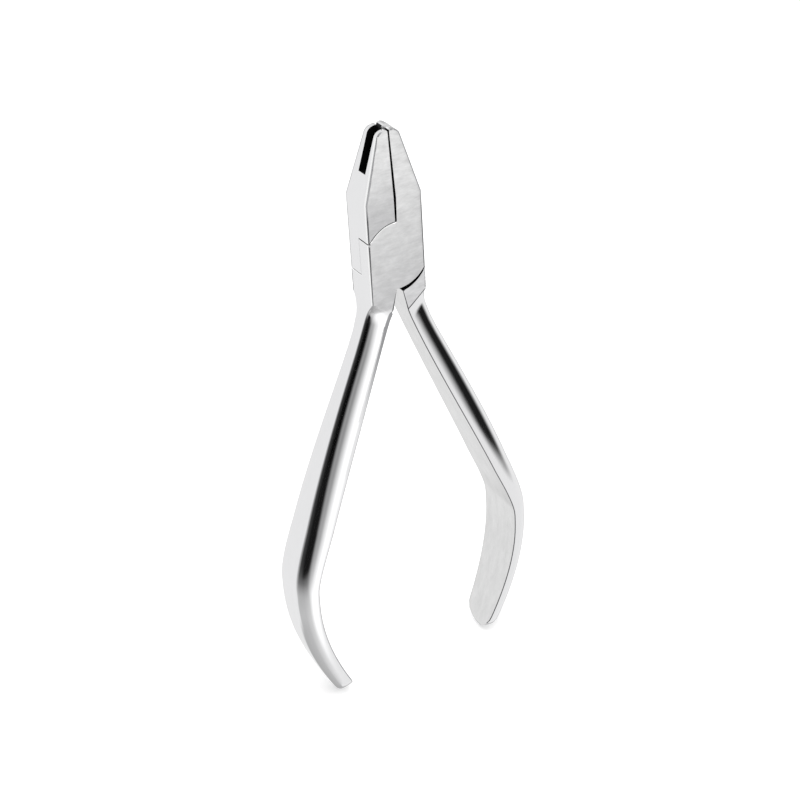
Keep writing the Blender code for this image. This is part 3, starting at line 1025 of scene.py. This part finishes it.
@dataclass
class Studio:
    """Camera, lights, floor and the surroundings that the steel mirrors.

    Levels come as pairs of a bearing, in degrees from -Y towards +X, and the light there.

    Attributes:
        middle: the joint's mid-thickness along Y, which the camera aims at.
        floor_height: height of the floor.
        azimuth: the camera's bearing, in degrees, 0 looking along +Y.
        elevation: how far the camera looks down, in degrees.
        roll: the camera's tilt about its line of sight, in degrees.
        distance: from the camera to the aim.
        shift_right: the camera's step to its right.
        shift_up: the camera's step up.
        focal: focal length as a share of the picture's width.
        drape_levels: what the dark drape at the handles' height lets through.
        drape_heights: elevations where the drape starts, is full, thins and ends, in degrees.
        cards: the black cards beside the set.
        gleam: the bright patches.
        wall_levels: the tent's walls.
        table_levels: the table under them.
        table_edge: elevations between which the table passes into the walls, in degrees.
        floor_size: width of the floor.
        floor_colour: sRGB colour of the floor's paper.
        floor_lift: light that the paper adds for the camera, so that it stays white.
        lamp_place: where the lamp hangs.
        lamp_aim: the point it lights.
        lamp_width: its width.
        lamp_power: its power in watts.
    """

    middle: float
    floor_height: float
    azimuth: float = 28.86
    elevation: float = 31.81
    roll: float = -3.62
    distance: float = 330 * MM
    shift_right: float = 2.592 * MM
    shift_up: float = -30.236 * MM
    focal: float = 1662.2 / 800
    drape_levels: tuple[tuple[float, float], ...] = (
        (-127, 1.0), (-118, 0.84), (-108, 0.56), (-98, 0.10), (-64, 0.006), (-46, 0.002), (-41, 0.04),
        (-36, 0.20), (-31, 0.40), (-27, 0.47), (-19, 0.35), (-15, 0.41), (-12, 0.49), (-5, 0.59),
        (8, 1.0),
    )
    drape_heights: tuple[float, float, float, float] = (-46, -8, 6, 39)
    cards: tuple[Card, ...] = (
        Card(azimuth=-61, distance=150 * MM, half_width=60 * MM, core=0.30,
             low=-112 * MM, high=-36 * MM, soft=0.40, level=0.01),
        Card(azimuth=63, distance=173 * MM, half_width=92 * MM, core=0.24,
             low=-130 * MM, high=70 * MM, soft=0.25, level=0.014),
    )
    gleam: tuple[Glow, ...] = (
        Glow(azimuth=-4, elevation=-30, half_width=32, half_height=34, core=0.30, extra=0.55),
        Glow(azimuth=-10, elevation=50, half_width=75, half_height=40, core=0.45, extra=0.60),
    )
    wall_levels: tuple[tuple[float, float], ...] = (
        (-180, 0.93), (-150, 1.0), (-122, 1.0), (-112, 0.64), (-62, 0.66), (-28, 0.82), (0, 0.98),
        (112, 1.0), (130, 0.60), (148, 0.60), (158, 0.92),
    )
    table_levels: tuple[tuple[float, float], ...] = (
        (-180, 0.50), (-170, 0.50), (-60, 0.61), (-25, 0.84), (0, 1.0), (112, 1.0), (130, 0.62),
        (148, 0.62), (160, 0.50),
    )
    table_edge: tuple[float, float] = (-52, -45)
    floor_size: float = 6.0
    floor_colour: str = "#F4F4F4"
    floor_lift: float = 0.22
    lamp_place: tuple[float, float, float] = (-0.10, -0.25, 0.55)
    lamp_aim: tuple[float, float, float] = (0, 0, -0.04)
    lamp_width: float = 0.5
    lamp_power: float = 1.4

    def build(self) -> None:
        """Sets the whole studio up."""
        self.set_camera()
        self.set_world()
        self.set_floor()
        self.set_lights()
        for number, card in enumerate(self.cards, 1):
            card.build("card %d" % number)
        scene = bpy.context.scene
        scene.view_settings.view_transform = "Standard"

    def set_camera(self) -> None:
        """Puts the camera where the photograph was taken from."""
        turn = math.radians(self.azimuth)
        dip = math.radians(self.elevation)
        tilt = math.radians(self.roll)
        sight = Vector((math.sin(turn) * math.cos(dip), math.cos(turn) * math.cos(dip), -math.sin(dip)))
        level = Vector((math.cos(turn), -math.sin(turn), 0))
        top = level.cross(sight)
        right = level * math.cos(tilt) + top * math.sin(tilt)
        up = top * math.cos(tilt) - level * math.sin(tilt)
        lens = bpy.data.cameras.new("camera")
        camera = bpy.data.objects.new("camera", lens)
        bpy.context.scene.collection.objects.link(camera)
        place = Matrix((right, up, -sight)).transposed().to_4x4()
        place.translation = (right * self.shift_right + up * self.shift_up
                             - sight * self.distance + Vector((0, self.middle, 0)))
        camera.matrix_world = place
        lens.sensor_fit = "HORIZONTAL"
        lens.sensor_width = SENSOR
        lens.lens = SENSOR * self.focal
        lens.clip_start = 10 * MM
        bpy.context.scene.camera = camera

    def set_world(self) -> None:
        """Makes the surroundings: white to the eye, a light tent with dark ends to the steel."""
        world = bpy.data.worlds.new("light tent")
        bpy.context.scene.world = world
        world.use_nodes = True
        tree = world.node_tree
        tree.nodes.clear()
        way = add_node(tree, "ShaderNodeTexCoord")
        split = add_node(tree, "ShaderNodeSeparateXYZ", None, {0: way.outputs["Generated"]})
        flip = self.maths(tree, "MULTIPLY", split.outputs["Y"], -1.0)
        bearing = self.maths(tree, "DEGREES", self.maths(tree, "ARCTAN2", split.outputs["X"], flip))
        height = self.maths(tree, "DEGREES", self.maths(tree, "ARCSINE", split.outputs["Z"]))
        wall = self.tent_level(tree, bearing, self.wall_levels)
        table = self.tent_level(tree, bearing, self.table_levels)
        above = add_node(tree, "ShaderNodeMapRange", {
            "From Min": self.table_edge[0], "From Max": self.table_edge[1]}, {"Value": height})
        tent = add_node(tree, "ShaderNodeMix", None,
                        {0: above.outputs[0], 2: table, 3: wall}).outputs[0]
        for patch in self.gleam:
            tent = self.maths(tree, "ADD", tent, self.maths(
                tree, "MULTIPLY", self.patch_share(tree, patch, bearing, height), patch.extra))
        foot, low, high, top = self.drape_heights
        rise, fall = [
            add_node(tree, "ShaderNodeMapRange", {
                "interpolation_type": "SMOOTHSTEP", "From Min": clear, "From Max": full,
            }, {"Value": height}).outputs[0] for clear, full in ((foot, low), (top, high))
        ]
        drape = add_node(tree, "ShaderNodeMix", {2: 1.0}, {
            0: self.maths(tree, "MULTIPLY", rise, fall),
            3: self.tent_level(tree, bearing, self.drape_levels)}).outputs[0]
        tent = self.maths(tree, "MULTIPLY", tent, drape)
        path = add_node(tree, "ShaderNodeLightPath")
        plain = add_node(tree, "ShaderNodeBackground", {"Color": (1, 1, 1, 1), "Strength": 1.0})
        mirrored = add_node(tree, "ShaderNodeBackground", {"Color": (1, 1, 1, 1)}, {"Strength": tent})
        mixed = add_node(tree, "ShaderNodeMixShader", None, {
            0: path.outputs["Is Glossy Ray"], 1: plain.outputs[0], 2: mirrored.outputs[0]})
        out = add_node(tree, "ShaderNodeOutputWorld")
        tree.links.new(mixed.outputs[0], out.inputs[0])

    def maths(self, tree: bpy.types.NodeTree, kind: str, first: object,
              second: object = None) -> bpy.types.NodeSocket:
        """Adds one sum.

        Args:
            tree: the node tree that it goes into.
            kind: the sum's Blender name.
            first: a number or an output socket.
            second: another, where the sum takes two.

        Returns:
            The socket with the sum's result.
        """
        settings = {"operation": kind}
        links = {}
        for place, value in enumerate((first, second)):
            if isinstance(value, (int, float)):
                settings[place] = value
            elif value is not None:
                links[place] = value
        return add_node(tree, "ShaderNodeMath", settings, links).outputs[0]

    def tent_level(self, tree: bpy.types.NodeTree, bearing: bpy.types.NodeSocket,
                   levels: tuple[tuple[float, float], ...]) -> bpy.types.NodeSocket:
        """Works out how bright the surroundings are at each bearing.

        Args:
            tree: the world's node tree.
            bearing: the socket with each ray's bearing, in degrees.
            levels: pairs of a bearing and the light there.

        Returns:
            The socket with the light.
        """
        turn = add_node(tree, "ShaderNodeMapRange",
                        {"From Min": -180.0, "From Max": 180.0}, {"Value": bearing})
        ramp = add_node(tree, "ShaderNodeValToRGB", None, {"Fac": turn.outputs[0]})
        places = ramp.color_ramp.elements
        while len(places) < len(levels):
            places.new(0.5)
        for stop, (angle, level) in zip(places, levels):
            stop.position = (angle + 180) / 360
            stop.color = (level, level, level, 1)
        return ramp.outputs["Color"]

    def patch_share(self, tree: bpy.types.NodeTree, patch: Glow, bearing: bpy.types.NodeSocket,
                    height: bpy.types.NodeSocket) -> bpy.types.NodeSocket:
        """Works out how much of a patch covers each direction.

        Args:
            tree: the world's node tree.
            patch: the bright patch.
            bearing: the socket with each ray's bearing, in degrees.
            height: the socket with each ray's elevation, in degrees.

        Returns:
            The socket with its cover, from 0 to 1.
        """
        across = self.maths(tree, "DIVIDE", self.maths(tree, "SUBTRACT", bearing, patch.azimuth),
                            patch.half_width)
        along = self.maths(tree, "DIVIDE", self.maths(tree, "SUBTRACT", height, patch.elevation),
                           patch.half_height)
        squares = self.maths(tree, "ADD", self.maths(tree, "MULTIPLY", across, across),
                             self.maths(tree, "MULTIPLY", along, along))
        far = self.maths(tree, "SQRT", squares)
        fade = add_node(tree, "ShaderNodeMapRange", {
            "interpolation_type": "SMOOTHSTEP", "From Min": patch.core, "From Max": 1.0,
            "To Min": 1.0, "To Max": 0.0}, {"Value": far})
        return fade.outputs[0]

    def set_floor(self) -> None:
        """Lays a pale floor under the handles' ends that keeps a soft shadow."""
        bpy.ops.object.select_all(action="DESELECT")
        bpy.ops.mesh.primitive_plane_add(size=self.floor_size, location=(0, 0, self.floor_height))
        floor = bpy.context.object
        floor.name = "floor"
        material = bpy.data.materials.new("Matt White Paper")
        material.use_nodes = True
        tree = material.node_tree
        shader = tree.nodes["Principled BSDF"]
        shader.inputs["Base Color"].default_value = linear(self.floor_colour)
        shader.inputs["Roughness"].default_value = 0.9
        shader.inputs["Specular IOR Level"].default_value = 0.0
        path = add_node(tree, "ShaderNodeLightPath")
        shine = self.maths(tree, "MULTIPLY", path.outputs["Is Camera Ray"], self.floor_lift)
        shader.inputs["Emission Color"].default_value = (1, 1, 1, 1)
        tree.links.new(shine, shader.inputs["Emission Strength"])
        floor.data.materials.append(material)
        floor.visible_glossy = False

    def set_lights(self) -> None:
        """Hangs one wide soft light over the front, at a plain level."""
        lamp = bpy.data.lights.new("overhead softbox", "AREA")
        lamp.shape = "DISK"
        lamp.size = self.lamp_width
        lamp.energy = self.lamp_power
        softbox = bpy.data.objects.new("overhead softbox", lamp)
        bpy.context.scene.collection.objects.link(softbox)
        softbox.location = self.lamp_place
        way = Vector(self.lamp_aim) - softbox.location
        softbox.rotation_euler = way.to_track_quat("-Z", "Y").to_euler()
        softbox.visible_glossy = False


def main() -> None:
    """Builds the pliers and the studio."""
    logging.basicConfig(level=logging.INFO, format="%(name)s: %(message)s")
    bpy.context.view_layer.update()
    low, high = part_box("front_lever")
    middle = (low.y + high.y) / 2
    front = Lever("front_lever", "front_body", "front_lever_steel", "front_lever_forging",
                  jaw_side=1, middle=middle)
    back = Lever("back_lever", "back_body", "back_lever_steel", "back_lever_forging",
                 jaw_side=-1, middle=middle)
    for lever in (front, back):
        piece = lever.build()
        log.info("built %s with %d faces", piece.name, len(piece.data.polygons))
    screw = JointScrew(face=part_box("joint_screw")[1].y).build()
    log.info("built %s with %d faces", screw.name, len(screw.data.polygons))
    Studio(middle=middle, floor_height=min(low.z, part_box("back_lever")[0].z)).build()


if __name__ == "__main__":
    main()
